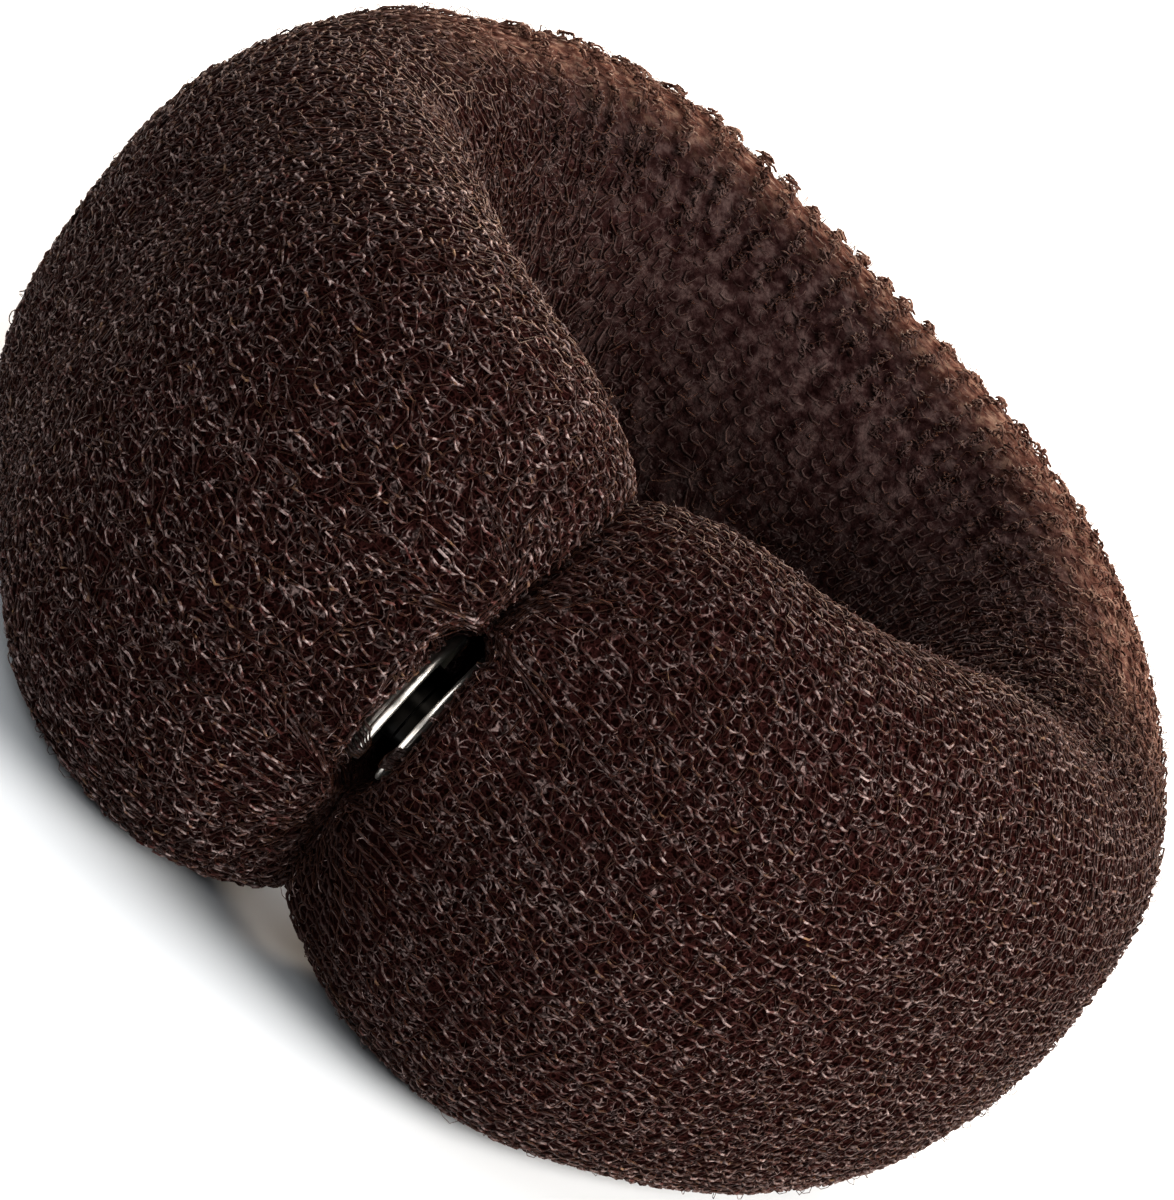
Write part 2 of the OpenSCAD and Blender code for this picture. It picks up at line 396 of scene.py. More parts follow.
def hug_stud(points, normals):
    """Draws the lips of both lobes around the press stud: forward over its backs, shut above and
    below it, and open where its rims are seen."""
    middle = stud_frame()[0]
    dy, dz = points[..., 1] - middle.y, points[..., 2] - middle.z
    rho = np.hypot(dy, dz) + 1e-6
    up = CLOSE_SLOPE[0] * -dy + CLOSE_SLOPE[1] * dz
    moved = draw_forward(points, normals, dy, dz, rho)
    shut_lips(moved, points, up, rho)
    open_lips(moved, points, up, dy, rho)
    return moved


def back_at(side, rho):
    """Place across the ring of one half's domed back, at a distance from the disc's axis."""
    disc, backs = stud_frame()[1:]
    fall = 1 - np.sqrt(1 - np.clip((rho - DOME_FLAT) / (disc - 0.3 - DOME_FLAT), 0, 1) ** 2)
    return backs[side] - side * DOME_FALL[side] * fall


def pad_cage():
    """A welded copy of the CAD roll, a little smaller, with its loose triangles paired up."""
    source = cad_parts["mesh_roll"]
    bm = bmesh.new()
    bm.from_mesh(source.data)
    bmesh.ops.remove_doubles(bm, verts=bm.verts, dist=WELD)
    bmesh.ops.recalc_face_normals(bm, faces=bm.faces)
    bmesh.ops.join_triangles(
        bm, faces=bm.faces, angle_face_threshold=0.7, angle_shape_threshold=0.9
    )
    bm.normal_update()
    middle = stud_frame()[0] * MM
    for vert in bm.verts:
        far = ease(*STUD_CLEAR, (vert.co - middle).length)
        x, y, z = vert.co / MM
        pressed = fade(1.0, 3.5, abs(x - crease_at(z))) * (y < PRESSED_FRONT)
        vert.co += vert.normal * MM * far * (CREASE_PRESS * pressed - PAD_UNDER * (1 - pressed))
    mesh = bpy.data.meshes.new("padded_roll")
    bm.to_mesh(mesh)
    bm.free()
    return mesh


def inflate(obj, held):
    """Lets the cover swell under a little inner pressure, but by no more than PAD_SWELL and not
    where it is held."""
    start = mesh_array(obj.data.vertices, "co")
    group = obj.vertex_groups.new(name="held")
    for vert in obj.data.vertices:
        group.add([vert.index], float(held[vert.index]), "REPLACE")
    cloth = obj.modifiers.new("swell", "CLOTH")
    settings = cloth.settings
    settings.quality = 6
    settings.mass = 0.15
    settings.tension_stiffness = 20
    settings.compression_stiffness = 12
    settings.bending_stiffness = 0.4
    settings.use_pressure = True
    settings.uniform_pressure_force = PAD_PRESSURE
    settings.vertex_group_mass = "held"
    settings.effector_weights.gravity = 0
    cloth.collision_settings.use_collision = False
    cloth.collision_settings.use_self_collision = False
    for step in range(1, SWELL_STEPS + 1):
        bpy.context.scene.frame_set(step)
    graph = bpy.context.evaluated_depsgraph_get()
    shift = mesh_array(obj.evaluated_get(graph).data.vertices, "co") - start
    obj.modifiers.remove(cloth)
    obj.vertex_groups.clear()
    bpy.context.scene.frame_set(1)
    length = np.linalg.norm(shift, axis=1, keepdims=True)
    shift *= np.minimum(1, PAD_SWELL * MM / np.maximum(length, 1e-9))
    obj.data.vertices.foreach_set("co", (start + shift).ravel())


def add_pad():
    mesh = pad_cage()
    pad = bpy.data.objects.new("padded_roll", mesh)
    bpy.context.scene.collection.objects.link(pad)
    co = mesh_array(mesh.vertices, "co") / MM
    # Held up to 5 mm from the crease and 2 mm above the table, and free from 14 mm and 6 mm on
    near_crease = np.clip(1.6 - np.abs(co[:, 0] + CREASE_BOW) / 9, 0, 1) * (co[:, 1] < CREASE_BACK)
    near_table = np.clip(1.5 - co[:, 2] / 4, 0, 1)
    inflate(pad, np.maximum(near_crease, near_table))
    sub = pad.modifiers.new("rounding", "SUBSURF")
    sub.levels = 1
    sub.render_levels = 1
    final = final_mesh(pad, "padded_roll")
    bpy.data.objects.remove(pad)
    middle, disc = stud_frame()[:2]
    for vert, normal in zip(final.vertices, mesh_array(final.vertex_normals, "vector")):
        wide = noise.noise(vert.co / (LUMP_WIDE * MM))
        wave = wide + 0.5 * noise.noise(vert.co / (LUMP_SMALL * MM))
        wave *= float(ease(disc + 1, disc + 6, (vert.co / MM - middle).length))
        vert.co += Vector(normal) * wave * LUMP * MM
        vert.co.z = max(vert.co.z, PAD_LOWEST * MM)
    final.shade_smooth()
    pad = join_object("padded_roll", final)
    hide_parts("mesh_roll")
    return pad


def sew_pad(pad):
    """Draws the finished pad's lips around the press stud."""
    places = mesh_array(pad.data.vertices, "co") / MM
    moved = hug_stud(places, mesh_array(pad.data.vertex_normals, "vector"))
    pad.data.vertices.foreach_set("co", (moved * MM).ravel())
    # The light share is painted shade beside the lower crease
    keep_shares(pad.data, {
        "light": crease_shade(moved), "soft": softness(moved), "backlight_glow": backlight_share(moved)
    })
    pad.data.update()


def sides_of(pad):
    """Search trees of the right and left half of the roll, told apart in the crease by where
    their faces look."""
    mesh = pad.data
    points = [v.co / MM for v in mesh.vertices]
    right, left = [], []
    for face in mesh.polygons:
        x, y = (face.center / MM)[:2]
        near = abs(x + CREASE_BOW / 2) < CREASE_NEAR and y < CREASE_BACK
        if face.normal.x < 0 if near else x > 0 or y > HALVES_BACK:
            right.append(tuple(face.vertices))
        if face.normal.x > 0 if near else x < 0 or y > HALVES_BACK:
            left.append(tuple(face.vertices))
    return [BVHTree.FromPolygons(points, faces) for faces in (right, left)]


# A map of the roll's surface: columns along it, from face to face, and turns around it

FACE_SHARE = 0.5
FACE_RINGS, ROUND_RINGS, BODY_RINGS = 12, 24, 150
MAP_COLUMNS = 720
MAP_TURNS = 192
# Columns at each end that are left out when the map's normals are told to point outwards
MAP_ENDS = 200
# Mean length around the roll, in mm
ROUND_LENGTH = 136.0


def even_turns(points):
    """The same rings with their points at even distances around the roll."""
    closed = np.concatenate([points, points[:, :1]], axis=1)
    gaps = np.linalg.norm(np.diff(closed, axis=1), axis=2).mean(axis=0)
    around = np.append(0, np.cumsum(gaps))
    even = np.linspace(0, around[-1], MAP_TURNS, endpoint=False)
    where = np.interp(even, around, np.arange(MAP_TURNS + 1))
    low = where.astype(int)
    part = (where - low)[None, :, None]
    return closed[:, low] * (1 - part) + closed[:, low + 1] * part


def surface_map(pad):
    """Even columns along the roll, and at each the points of the pad around it, in mm."""
    gap = END_GAP / 2
    on_face = np.linspace(FACE_SHARE, 1, FACE_RINGS, endpoint=False)
    rounding = 1 - np.cos(np.linspace(0, math.pi / 2, ROUND_RINGS, endpoint=False))
    body = np.linspace(gap + END_ROUND, ROLL_LENGTH / 2, BODY_RINGS)
    half_s = np.concatenate([np.full(FACE_RINGS, gap), gap + END_ROUND * rounding, body])
    half_share = np.concatenate([on_face, np.ones(ROUND_RINGS + BODY_RINGS)])
    s = np.concatenate([half_s, (ROLL_LENGTH - half_s)[-2::-1]])
    share = np.concatenate([half_share, half_share[-2::-1]])
    v = np.linspace(0, TURN, MAP_TURNS, endpoint=False)
    plain = skin(s[:, None], v[None, :], share[:, None])
    box = plain.reshape(-1, 3)
    plain[..., 0] -= (box[:, 0].max() + box[:, 0].min()) / 2
    plain[..., 1] -= (box[:, 1].max() + box[:, 1].min()) / 2
    trees = sides_of(pad)
    points = np.empty_like(plain)
    for i in range(len(s)):
        tree = trees[0] if s[i] < ROLL_LENGTH / 2 else trees[1]
        for j in range(MAP_TURNS):
            points[i, j] = tree.find_nearest(Vector(plain[i, j]))[0]
    gaps = np.linalg.norm(np.diff(points, axis=0), axis=2)
    across = np.append(0, np.cumsum(gaps.mean(axis=1)))
    even = np.linspace(0, across[-1], MAP_COLUMNS)
    where = np.interp(even, across, np.arange(len(s)))
    low = np.minimum(where.astype(int), len(s) - 2)
    part = (where - low)[:, None, None]
    points = points[low] * (1 - part) + points[low + 1] * part
    return across[-1], even_turns(points)


def surface_normals(points):
    """Smoothed directions across the map's columns and turns."""
    along = np.gradient(points, axis=0)
    around = np.roll(points, -1, axis=1) - np.roll(points, 1, axis=1)
    out = np.cross(around, along)
    out /= np.linalg.norm(out, axis=2, keepdims=True) + 1e-12
    for _ in range(2):
        out = (out + np.roll(out, 1, axis=1) + np.roll(out, -1, axis=1)) / 3
        out[1:-1] = (out[1:-1] + out[2:] + out[:-2]) / 3
    return out / (np.linalg.norm(out, axis=2, keepdims=True) + 1e-12)


class Surface:
    """The pad's surface, read at a share of its length and a share of a turn."""

    def __init__(self, pad):
        self.length, self.points = surface_map(pad)
        self.normals = surface_normals(self.points)
        centre = self.points.mean(axis=1, keepdims=True)
        outward = ((self.points - centre) * self.normals).sum(axis=2)
        if outward[MAP_ENDS:-MAP_ENDS].mean() < 0:
            self.normals = -self.normals
        self.points = hug_stud(self.points, self.normals)

    def read(self, grid, a, b):
        """Value of a grid, mixed from the four that lie around each place."""
        rows, turns = grid.shape[:2]
        x = np.clip(a, 0, 1) * (rows - 1)
        y = np.mod(b, 1) * turns
        i = np.minimum(x.astype(int), rows - 2)
        j = y.astype(int) % turns
        u = (x - i)[..., None]
        w = (y - y.astype(int))[..., None]
        k = (j + 1) % turns
        return (grid[i, j] * (1 - u) + grid[i + 1, j] * u) * (1 - w) + (
            grid[i, k] * (1 - u) + grid[i + 1, k] * u
        ) * w

    def lift(self, a, b, height):
        """Points at height mm above the pad."""
        return self.read(self.points, a, b) + self.read(self.normals, a, b) * height[..., None]


# Courses of looped yarn

class Net(NamedTuple):
    """A layer of courses: their number around the roll, the loops in one, the angles of a
    loop's points, and in mm how it lies on the pad."""
    courses: int
    columns: int
    angles: tuple
    lift: float
    deep: float
    rib: float
    tangle: float
    radius: float


ROUND_LOOP = (-50, -17, 17, 50, 130, 163, 197, 230)
PLAIN_LOOP = (-38, 0, 38, 142, 180, 218)
FLAT_LOOP = (-40, 40, 140, 220)
OUTER_NET = Net(102, 168, ROUND_LOOP, 0.22, 0.18, 0.40, 1.0, 0.096)
INNER_NET = Net(102, 112, PLAIN_LOOP, 0.24, 0.22, 0.36, 1.0, 0.088)
BELOW_NET = Net(64, 104, FLAT_LOOP, 0.06, 0.12, 0.10, 1.6, 0.070)
# The outer net covers this share of a turn to both sides of the roll's outermost line
OUTER_HALF = 0.27
OUTER_PIECES, INNER_PIECES = 4, 2
# The loops are wide and low on the right lobe, at share 0, and close and round on the left one
LOOP_CROWD = 0.047
LOOP_BULGE = (0.16, 0.23)
LOOP_TALL = (0.62, 0.76)
LOOP_TURN = 0.38
# Ranges along a course, from the right end face to the left one: from one lobe's loops to the
# other's, where the ribs stand up, where painted shade dims the net beside the crease, and where it
# is calm because it is far from the camera
LEFT_LOBE = (0.3, 0.7)
RIBS_START, RIBS_STOP = (0.22, 0.40), (0.60, 0.78)
BESIDE_CREASE = (0.015, 0.15)
CALM_START, CALM_STOP = (0.12, 0.30), (0.72, 0.92)
CALM_SHARE, CALM_CREST = 0.7, 0.22
# Share by which the yarn sinks in the pile, and how deep in mm
PILE_SINK, PILE_DEPTH = 0.8, 0.17
# Gap between yarn and metal
STUD_ROOM = 0.05


def wandering(shape, step, seed):
    """Smooth random numbers along the last axis, one knot each step."""
    local = np.random.default_rng(seed)
    knots = local.normal(0, 1, (shape[0], shape[1] // step + 3))
    x = np.arange(shape[1]) / step
    i = x.astype(int)
    u = x - i
    u = u * u * (3 - 2 * u)
    return knots[:, i] * (1 - u) + knots[:, i + 1] * u


def crest_light_share(points, a, t, left, sway, kink):
    """How much painted light each point of the yarn carries: a painted highlight on the curves of
    the loops and painted shade on their legs."""
    crest_light = ease(-0.45, 1.0, np.cos(2 * t)) * (0.2 + 0.8 * ease(-1.1, 1.1, sway))
    crest_light *= 0.45 + 0.55 * ease(-1.0, 0.6, kink)
    # On the right lobe the painted highlight falls on the lower curve of each loop
    crest_light *= 1 - 0.4 * (1 - left) * ease(-0.3, 0.3, np.cos(t))
    # Painted shade beside the crease dims the loops' painted light, most beside the lower crease
    crest_light *= 0.3 + 0.7 * ease(*BESIDE_CREASE, np.where(a < 0.5, a, 2 * (1 - a)))
    crest_light *= crease_shade(points)
    calm = ease(*CALM_START, a) * fade(*CALM_STOP, a)
    soft = CALM_SHARE * calm
    return crest_light * (1 - soft) + CALM_CREST * soft


def course_points(surface, rows, net, seed):
    """Points of some courses, each an open line of loops from one end face to the other, how much
    painted light each point carries and how thick the yarn is there."""
    angles = np.radians(net.angles)
    per = len(angles)
    t = (np.arange(net.columns)[:, None] * TURN + angles[None, :]).ravel()[None, :]
    t = t + np.zeros((len(rows), 1))
    loop = t / TURN
    left = ease(*LEFT_LOBE, loop / net.columns)
    rough = net.tangle * (0.6 + 0.55 * left)
    sway = [wandering(t.shape, per // 2, seed + k) * rough for k in range(5)]
    slow = wandering(t.shape, per * 5, seed + 10)
    kink = [wandering(t.shape, 1, seed + 20 + k) * net.tangle for k in range(3)]
    bulge = LOOP_BULGE[0] * (1 - left) + LOOP_BULGE[1] * left
    tall = LOOP_TALL[0] * (1 - left) + LOOP_TALL[1] * left
    # Each loop leans its own way
    lean = LOOP_TURN * wandering(t.shape, per, seed + 11) * (0.5 + 0.6 * left)
    side = bulge * (1 + 0.3 * sway[0]) * np.sin(2 * t)
    rise = tall * (1 + 0.25 * sway[2]) * np.cos(t)
    along = loop + side * np.cos(lean) - rise * np.sin(lean) + 0.08 * sway[1] + 0.03 * kink[0]
    up = side * np.sin(lean) + rise * np.cos(lean) + 0.16 * sway[3] + 0.12 * slow + 0.04 * kink[1]
    a = along / net.columns
    a = a + LOOP_CROWD * np.sin(math.pi * np.clip(a, 0, 1))
    # Far from the press stud every rib of loops stands up
    rib = np.cos(t) * (ease(*RIBS_START, a) * fade(*RIBS_STOP, a))
    high = net.deep * np.cos(2 * t) + net.rib * rib + 0.07 * sway[4] + 0.03 * kink[2]
    row = np.asarray(rows)[:, None]
    # Rows wander slowly together over the roll
    drift = 0.8 * np.sin(TURN * a * 2 + 1.3) + 0.5 * np.sin(TURN * a * 5)
    turn = (row + up + drift) / net.courses
    # Matted pile covers the yarn
    matted = softness(surface.lift(a, turn, high))
    height = (high + net.lift) * (1 - PILE_SINK * matted) - PILE_DEPTH * matted
    points = surface.lift(a, turn, height)
    arc = ease(-0.45, 1.0, np.cos(2 * t))
    thick = (0.76 + 0.48 * arc + 0.14 * wandering(t.shape, 3, seed + 80)) * (1 + 0.3 * matted)
    return points, crest_light_share(points, a, t, left, sway[4], kink[2]), thick


def clear_of_table(points, radius):
    """Lifts yarn of a radius out of the table."""
    points[..., 2] = np.maximum(points[..., 2], radius + 0.02)
    return points


def clear_of_stud(points, radius):
    """Moves yarn out of the press stud's room, sideways along the ring's X axis."""
    middle, disc, backs = stud_frame()
    rho = np.hypot(points[..., 1] - middle.y, points[..., 2] - middle.z)
    centre = (backs[-1] + backs[1]) / 2
    for side, back in backs.items():
        edge = back_at(side, rho) + side * (radius + STUD_ROOM)
        lobe = side * (points[..., 0] - centre) > 0.3 * side
        inside = (rho < disc + radius + STUD_ROOM) & lobe & (side * (points[..., 0] - edge) < 0)
        points[..., 0] = np.where(inside, edge, points[..., 0])
    return points


def pile_shares(points, crest_light):
    """The shares that the yarn's material reads at each point."""
    return {"crest_light": crest_light, "soft": softness(points), "backlight_glow": backlight_share(points)}


def lay_courses(name, surface, rows, net, seed):
    points, crest_light, thick = course_points(surface, rows, net, seed)
    points = clear_of_stud(clear_of_table(points, 1.4 * net.radius), net.radius)
    mesh = threads(name, points, net.radius, thick, pile_shares(points, crest_light))
    return join_object(name, mesh)


def add_net(surface):
    """The courses on the outside of the roll, then those on its inside, each in a few pieces."""
    place = (np.arange(OUTER_NET.courses) / OUTER_NET.courses + 0.5) % 1 - 0.5
    outer = np.flatnonzero(np.abs(place) < OUTER_HALF)
    outer = outer[np.argsort(place[outer])]
    inner = np.flatnonzero(np.abs(place) >= OUTER_HALF)
    outside = [
        lay_courses(f"outer_net_{n + 1}", surface, rows, OUTER_NET, 100 + 200 * n)
        for n, rows in enumerate(np.array_split(outer, OUTER_PIECES))
    ]
    inside = [
        lay_courses(f"inner_net_{n + 1}", surface, rows, INNER_NET, 900 + 200 * n)
        for n, rows in enumerate(np.array_split(inner, INNER_PIECES))
    ]
    return outside, inside


def add_under_net(surface):
    """A looser net just under the outer one."""
    return lay_courses("net_below", surface, range(BELOW_NET.courses), BELOW_NET, 2000)


# Ribs of matted curls that cross the far top edge and give it its toothed outline

# The part of the roll's length, and of a turn around it, that they cover
RIB_FROM, RIB_TO = 0.27, 0.66
RIB_TURNS = (0.18, 0.345)
# In mm: the ribs' distance, their height and half their width
RIB_STEP = 2.8
RIB_HIGH = 1.25
RIB_HALF = 0.85
RIB_CURLS = 75
CURL_POINTS = 6
CURL_RADIUS = 0.12


def add_far_ribs(surface):
    local = np.random.default_rng(3300)
    count = int((RIB_TO - RIB_FROM) * surface.length / RIB_STEP)
    middle = np.linspace(RIB_FROM, RIB_TO, count) + local.normal(0, 0.3, count) / surface.length
    size = local.uniform(0.75, 1.2, count)
    rib = np.repeat(np.arange(count), RIB_CURLS)
    curls = len(rib)
    beside = np.clip(local.normal(0, 0.4, curls), -0.8, 0.8) * RIB_HALF
    around = local.uniform(*RIB_TURNS, curls)
    arch = np.sin(math.pi * (around - RIB_TURNS[0]) / (RIB_TURNS[1] - RIB_TURNS[0])) ** 1.5
    rounded = 1 - (beside / RIB_HALF) ** 2
    high = RIB_HIGH * size[rib] * arch * rounded * local.uniform(0, 1, curls) ** 0.4
    turn = local.uniform(0, TURN, curls)
    half = local.uniform(0.35, 0.75, curls)
    curl = local.normal(0, 1.3, curls)
    t = np.linspace(-1, 1, CURL_POINTS)[None, :]
    swing = turn[:, None] + curl[:, None] * t
    reach = beside[:, None] + half[:, None] * t * np.cos(swing)
    along = middle[rib][:, None] + reach / surface.length
    around = around[:, None] + half[:, None] * t * np.sin(swing) / ROUND_LENGTH
    high = high[:, None] + 0.10 - 0.22 * t**2 + local.normal(0, 0.05, along.shape)
    points = surface.lift(along, around, high)
    full = np.ones(points.shape[:2])
    shares = {"crest_light": full, "soft": full, "backlight_glow": backlight_share(points)}
    mesh = threads("far_ribs", points, CURL_RADIUS, shares=shares)
    return join_object("far_ribs", mesh)


# Frizz: fine bent fibres and small loose loops that stand off the net

FIBRES = 3700
FIBRE_POINTS = 4
FIBRE_RADIUS, FIBRE_ROOM = 0.036, 0.05
# Fibres that lie in the pile of the far side
FAR_FIBRES = 700
LOOSE_LOOPS = 50
LOOSE_POINTS = 9
LOOSE_RADIUS, LOOSE_ROOM = 0.06, 0.08


def lay_loose(name, surface, place, reach, high, radius, room):
    """Threads about places of the map, which reach so many mm along and around the roll."""
    along = place[0][:, None] + reach[0] / surface.length
    around = place[1][:, None] + reach[1] / ROUND_LENGTH
    points = surface.lift(along, around, high)
    points = clear_of_stud(clear_of_table(points, room), room)
    shares = pile_shares(points, np.ones(points.shape[:2]))
    return join_object(name, threads(name, points, radius, shares=shares))


def add_fibres(surface):
    a = rng.uniform(0.03, 0.97, FIBRES)
    b = rng.uniform(0, 1, FIBRES)
    a[:FAR_FIBRES] = rng.uniform(0.15, 0.70, FAR_FIBRES)
    b[:FAR_FIBRES] = rng.uniform(0.17, 0.34, FAR_FIBRES)
    turn = rng.uniform(0, TURN, FIBRES)
    size = rng.uniform(0.6, 1.9, FIBRES)
    tall = rng.uniform(0.15, 0.80, FIBRES)
    curl = rng.normal(0, 0.5, FIBRES)
    t = np.linspace(-0.5, 0.5, FIBRE_POINTS)
    uneven = rng.normal(0, 0.06, (FIBRES, FIBRE_POINTS))
    high = 0.25 + tall[:, None] * (1 - (2 * t) ** 2) + uneven
    swing = turn[:, None] + curl[:, None] * t
    reach = size[:, None] * t * np.cos(swing), size[:, None] * t * np.sin(swing)
    return lay_loose("frizz_fibres", surface, (a, b), reach, high, FIBRE_RADIUS, FIBRE_ROOM)


def add_loose_loops(surface):
    a = rng.uniform(0.03, 0.97, LOOSE_LOOPS)
    b = rng.uniform(0, 1, LOOSE_LOOPS)
    turn = rng.uniform(0, TURN, LOOSE_LOOPS)[:, None]
    size = rng.uniform(0.4, 0.7, LOOSE_LOOPS)[:, None]
    t = np.linspace(-0.42, 0.42, LOOSE_POINTS) * TURN
    side = size * np.sin(t)
    high = 0.15 + size * 0.55 * (1 + np.cos(t))
    reach = side * np.cos(turn), side * np.sin(turn)
    return lay_loose("loose_loops", surface, (a, b), reach, high, LOOSE_RADIUS, LOOSE_ROOM)


# Sewing thread: it comes out of a hole near each half's rim, goes over the rim and into the net

THREAD_RADIUS = 0.14
COLLAR_GAP = 0.2
# Points of a stitch in mm: out from the middle of the gap between the halves, and past the rim
STITCH_POINTS = (
    (0.74, -1.50), (0.76, -0.70), (0.80, -0.15), (1.20, 0.15), (1.75, -0.10), (2.5, -0.9),
)
# The first of them lie inside the rim, where a stitch runs from its hole to where it crosses
STITCH_INSIDE = 3
# Turns in degrees from the front, upwards: those where each bundle crosses the rim, and its hole
LEFT_BUNDLES = ((-52, -8, -45), (118, 150, 135), (-150, -118, -135))
RIGHT_BUNDLES = ((-27, -3, -45), (118, 150, 135), (-150, -118, -135))
STRANDS = 11


def add_sewing(name, side, bundles):
    middle, disc, backs = stud_frame()
    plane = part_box("snap_socket")[1].x / MM + COLLAR_GAP / 2
    deep = (abs(backs[side] - plane) + 0.3) / STITCH_POINTS[-1][0]
    lines = []
    for low, high, hole in bundles:
        for k in range(STRANDS):
            over = low + (high - low) * (k + 0.5) / STRANDS + rng.normal(0, 1.5)
            line = []
            for n, (out, reach) in enumerate(STITCH_POINTS):
                turn = math.radians(hole + (over - hole) * min(1, n / STITCH_INSIDE))
                rho = disc + reach + rng.normal(0, 0.02)
                x = plane + side * (out if n < STITCH_INSIDE else out * deep)
                line.append((x, middle.y - rho * math.cos(turn), middle.z + rho * math.sin(turn)))
            lines.append(np.array(line))
    return join_object(name, threads(name, lines, THREAD_RADIUS))


# Materials

# Colours of ramps are (place, colour)
DARK_PILE = (
    (0.36, (0.0032, 0.0010, 0.0010)), (0.50, (0.0125, 0.0056, 0.0054)),
    (0.66, (0.042, 0.026, 0.024)),
)
# Painted backlight: a lighter brown for light through the pile along the far top edge
BACKLIT_PILE = (
    (0.36, (0.022, 0.0075, 0.0055)), (0.52, (0.074, 0.033, 0.0245)), (0.66, (0.162, 0.096, 0.069)),
)
# Painted shade lower in the hole: up from one height to the other, in metres, the pile goes from
# half this darker colour to its own
LOW_SHADE_FROM, LOW_SHADE_TO = 0.033, 0.046
PILE_LOW_SHADE = (0.0015, 0.0006, 0.0005, 1)
DARK_RED = (0.0026, 0.0006, 0.0005, 1)
# Painted shade colour of the layers beside the lower crease
PAINTED_CREASE_SHADE = (0.003, 0.0006, 0.0005, 1)
STRANDS_BELOW = (
    (0.38, (0.020, 0.006, 0.005)), (0.46, (0.060, 0.026, 0.024)), (0.56, (0.16, 0.112, 0.106)),
)
DEEPEST_STRANDS = (0.014, 0.0042, 0.0038)
YARN_TONES = (
    (0.34, (0.050, 0.011, 0.010)), (0.43, (0.085, 0.038, 0.035)), (0.52, (0.330, 0.258, 0.248)),
    (0.59, (0.095, 0.050, 0.043)), (0.68, (0.180, 0.105, 0.058)),
)
YARN_PIECES = ((0.44, (0.13, 0.07, 0.065)), (0.53, (1.0, 1.0, 1.0)))
# Painted shade on the legs of the loops, on the outer nets and on the inside one
SHADED_YARN_LEGS = (0.008, 0.0022, 0.0019, 1)
SHADED_INSIDE_LEGS = (0.014, 0.005, 0.004, 1)
NICKEL = (0.88, 0.84, 0.77, 1)
# Painted shade in the hollow between the press stud's halves
NICKEL_HOLLOW_SHADE = (0.004, 0.0035, 0.003, 1)


def new_group(name, inputs, outputs):
    """A shader group with named sockets: inputs are (name, kind, value)."""
    group = bpy.data.node_groups.new(name, "ShaderNodeTree")
    for label, kind, value in inputs:
        socket = group.interface.new_socket(label, in_out="INPUT", socket_type=kind)
        if value is not None:
            socket.default_value = value
    for label, kind in outputs:
        group.interface.new_socket(label, in_out="OUTPUT", socket_type=kind)
    return group, group.nodes.new("NodeGroupInput"), group.nodes.new("NodeGroupOutput")


def feed(tree, socket, value):
    """Links a socket to the one given as value, or else sets its value."""
    if isinstance(value, bpy.types.NodeSocket):
        tree.links.new(value, socket)
    else:
        socket.default_value = value


def node(tree, kind, settings=None, inputs=None):
    """A node with its settings, and its inputs by name or number."""
    made = tree.nodes.new(kind)
    for key, value in (settings or {}).items():
        setattr(made, key, value)
    for key, value in (inputs or {}).items():
        feed(tree, made.inputs[key], value)
    return made


def math_node(tree, operation, a, b, clamp=False):
    settings = {"operation": operation, "use_clamp": clamp}
    return node(tree, "ShaderNodeMath", settings, {0: a, 1: b}).outputs[0]


def noise_node(tree, where, scale, detail, rough=0.5):
    return node(tree, "ShaderNodeTexNoise", None, {
        "Vector": where, "Scale": scale, "Detail": detail, "Roughness": rough
    })


def map_range(tree, value, low=0.0, high=1.0, to_low=0.0, to_high=1.0):
    inputs = {0: value, 1: low, 2: high, 3: to_low, 4: to_high}
    return node(tree, "ShaderNodeMapRange", None, inputs).outputs[0]


def mix_colours(tree, factor, first, second, blend="MIX"):
    settings = {"data_type": "RGBA", "blend_type": blend}
    return node(tree, "ShaderNodeMix", settings, {0: factor, 6: first, 7: second}).outputs[2]


def share_of(tree, label):
    """A share that the mesh keeps at its points."""
    return node(tree, "ShaderNodeAttribute", {"attribute_name": label}).outputs["Fac"]


def ramp(tree, factor, stops):
    made = tree.nodes.new("ShaderNodeValToRGB")
    made.color_ramp.elements[0].position = stops[0][0]
    made.color_ramp.elements[0].color = (*stops[0][1], 1)
    made.color_ramp.elements[1].position = stops[-1][0]
    made.color_ramp.elements[1].color = (*stops[-1][1], 1)
    for place, colour in stops[1:-1]:
        made.color_ramp.elements.new(place).color = (*colour, 1)
    tree.links.new(factor, made.inputs[0])
    return made.outputs[0]


def strand_group():
    """Tangled strands: the bent edges of small cells, as a mask, and a tone that varies on them."""
    group, start, end = new_group(
        "tangled_strands",
        [("Vector", "NodeSocketVector", None), ("Scale", "NodeSocketFloat", 900.0),
         ("Width", "NodeSocketFloat", 0.05)],
        [("Mask", "NodeSocketFloat"), ("Tone", "NodeSocketFloat")],
    )
    where, scale, width = (start.outputs[label] for label in ("Vector", "Scale", "Width"))
    scaled = node(
        group, "ShaderNodeVectorMath", {"operation": "SCALE"}, {0: where, "Scale": scale}
    ).outputs[0]
    bend = noise_node(group, scaled, 0.9, 1.0)
    bent = node(
        group, "ShaderNodeVectorMath", {"operation": "MULTIPLY_ADD"},
        {0: bend.outputs[1], 1: (1.1, 1.1, 1.1), 2: scaled},
    )
    cells = node(
        group, "ShaderNodeTexVoronoi", {"feature": "DISTANCE_TO_EDGE"},
        {"Vector": bent.outputs[0], "Scale": 1.0},
    )
    near = math_node(group, "DIVIDE", cells.outputs["Distance"], width)
    mask = math_node(group, "SUBTRACT", 1.0, near, clamp=True)
    tone = noise_node(group, where, math_node(group, "MULTIPLY", scale, 0.6), 2.0)
    group.links.new(mask, end.inputs["Mask"])
    group.links.new(tone.outputs[0], end.inputs["Tone"])
    return group


